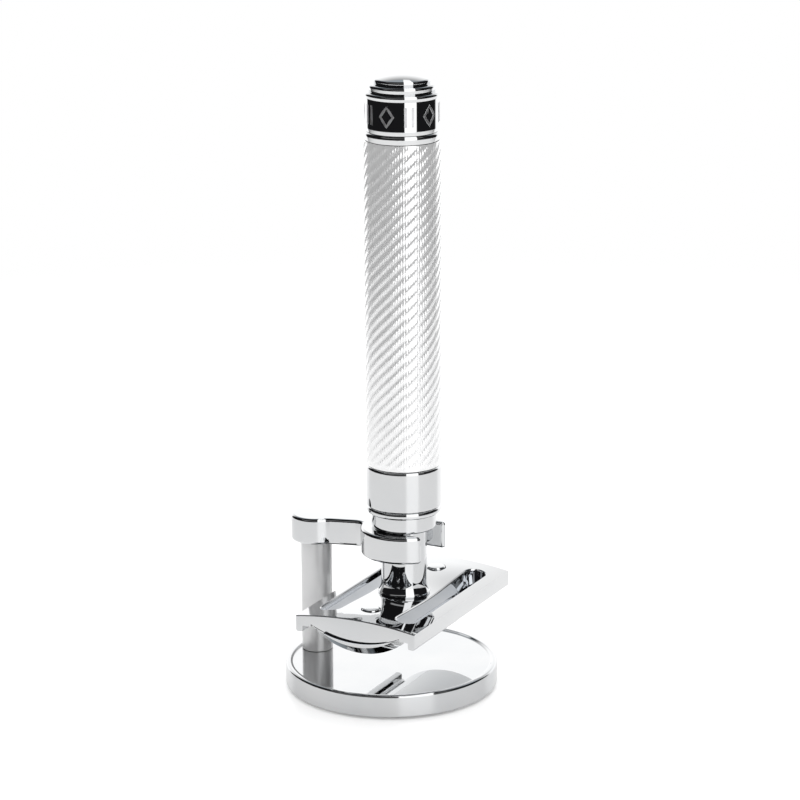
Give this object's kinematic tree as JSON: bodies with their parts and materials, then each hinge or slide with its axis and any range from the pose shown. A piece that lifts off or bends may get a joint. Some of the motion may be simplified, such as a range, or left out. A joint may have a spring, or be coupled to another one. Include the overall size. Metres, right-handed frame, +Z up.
{
  "type": "safety razor on stand",
  "caption": "Double-edge safety razor with a knurled handle, hanging head down in the open fork of a small round stand.",
  "frame": {"origin": "centre of the stand's underside, on the surface it stands on", "axes": "+Z up along the handle, +X from the stand's post towards the fork's open mouth, +Y along the razor head"},
  "size_m": [0.0422, 0.043, 0.1214],
  "materials": {
    "polished_chrome": "mirror-polished chrome plating",
    "knurled_chrome": "chrome plating over fine spiral knurling",
    "plated_steel": "zinc-plated steel",
    "blade_steel": "bright rolled stainless strip",
    "brass": "turned brass",
    "black_rubber": "matt black rubber"
  },
  "bodies": {
    "stand": {"stand_base": "polished_chrome", "base_pad": "black_rubber", "post_screw": "plated_steel", "stand_post": "polished_chrome", "arm_stud": "plated_steel", "stand_arm": "polished_chrome"},
    "plate": {"base_plate": "polished_chrome"},
    "handle": {"neck": "polished_chrome", "thread_insert": "brass", "handle_core": "plated_steel", "handle_collar": "polished_chrome", "grip_seal_lower": "black_rubber", "grip_sleeve": "knurled_chrome", "grip_seal_upper": "black_rubber", "bead_ring": "polished_chrome", "end_band": "polished_chrome", "end_cap": "polished_chrome"},
    "blade": {"blade": "blade_steel"},
    "cap": {"cap": "polished_chrome", "cap_stud": "polished_chrome", "alignment_pin_front": "polished_chrome", "alignment_pin_back": "polished_chrome"}
  },
  "joints": [
    {"name": "razor_slide_out", "type": "slide", "parent": "stand", "child": "plate", "axis": [1, 0, 0], "range_m": [0, 0.045]},
    {"name": "handle_turn", "type": "hinge", "parent": "plate", "child": "handle", "pos_m": [0.0029, 0, 0], "axis": [0, 0, 1], "range_deg": [0, 2160]},
    {"name": "cap_drop", "type": "slide", "parent": "plate", "child": "cap", "axis": [0, 0, -1], "range_m": [0, 0.0049]},
    {"name": "blade_drop", "type": "slide", "parent": "plate", "child": "blade", "axis": [0, 0, -1], "range_m": [0, 0.00245]}
  ],
  "couplings": [
    {"joint": "cap_drop", "follows": "handle_turn", "m_per_rad": 0.00012732},
    {"joint": "blade_drop", "follows": "handle_turn", "m_per_rad": 0.000063662}
  ]
}
